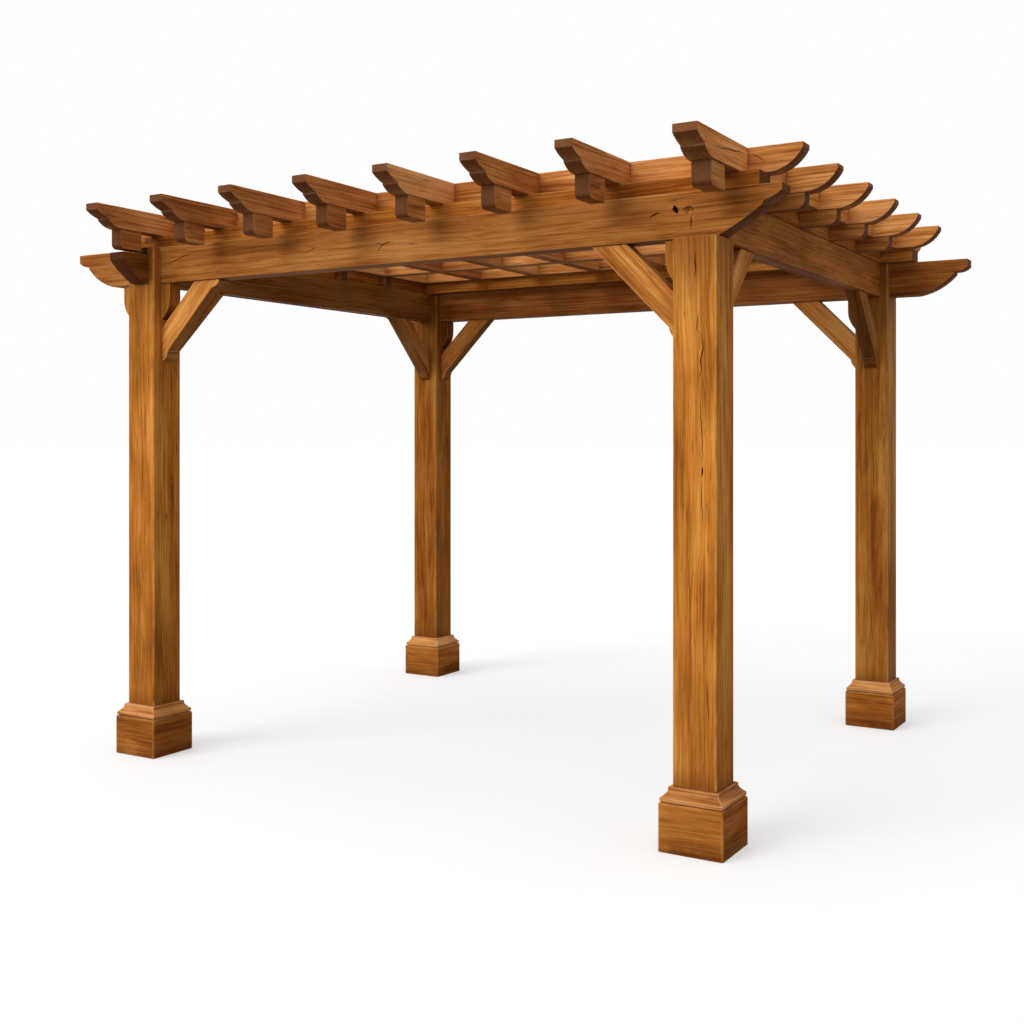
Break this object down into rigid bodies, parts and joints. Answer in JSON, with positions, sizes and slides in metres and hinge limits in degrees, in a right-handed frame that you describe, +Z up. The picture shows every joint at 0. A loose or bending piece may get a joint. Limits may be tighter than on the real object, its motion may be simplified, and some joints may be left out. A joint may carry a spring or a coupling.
{
  "type": "wooden pergola",
  "caption": "Free-standing timber pergola with posts on moulded bases, notched beams with shaped ends, knee braces and a two-way grid of half-lapped rafters.",
  "frame": {"origin": "on the ground at the centre of the plan, midway between the posts", "axes": "+X along the front to the right, +Y from front to back, +Z up"},
  "size_m": [4.18, 3.5, 2.85],
  "materials": {
    "post_timber": "stained, satin, weathered",
    "beam_timber": "stained, satin, weathered",
    "brace_timber": "stained, satin, weathered",
    "roof_timber": "stained, satin, weathered",
    "base_timber": "stained, satin, weathered"
  },
  "bodies": {
    "root": {"back_beam": "beam_timber", "back_beam_left_brace": "brace_timber", "back_beam_right_brace": "brace_timber", "back_left_base_block": "base_timber", "back_left_base_cap": "base_timber", "back_left_post": "post_timber", "back_plate": "roof_timber", "back_right_base_block": "base_timber", "back_right_base_cap": "base_timber", "back_right_post": "post_timber", "cross_rafter_1": "roof_timber", "cross_rafter_2": "roof_timber", "cross_rafter_3": "roof_timber", "cross_rafter_4": "roof_timber", "cross_rafter_5": "roof_timber", "cross_rafter_6": "roof_timber", "cross_rafter_7": "roof_timber", "cross_rafter_8": "roof_timber", "front_and_back_blocks": "roof_timber", "front_beam": "beam_timber", "front_beam_left_brace": "brace_timber", "front_beam_right_brace": "brace_timber", "front_left_base_block": "base_timber", "front_left_base_cap": "base_timber", "front_left_post": "post_timber", "front_plate": "roof_timber", "front_right_base_block": "base_timber", "front_right_base_cap": "base_timber", "front_right_post": "post_timber", "left_beam": "beam_timber", "left_beam_back_brace": "brace_timber", "left_beam_front_brace": "brace_timber", "left_plate": "roof_timber", "long_rafter_1": "roof_timber", "long_rafter_2": "roof_timber", "long_rafter_3": "roof_timber", "long_rafter_4": "roof_timber", "long_rafter_5": "roof_timber", "long_rafter_6": "roof_timber", "right_beam": "beam_timber", "right_beam_back_brace": "brace_timber", "right_beam_front_brace": "brace_timber", "right_plate": "roof_timber", "side_blocks": "roof_timber"}
  },
  "joints": []
}
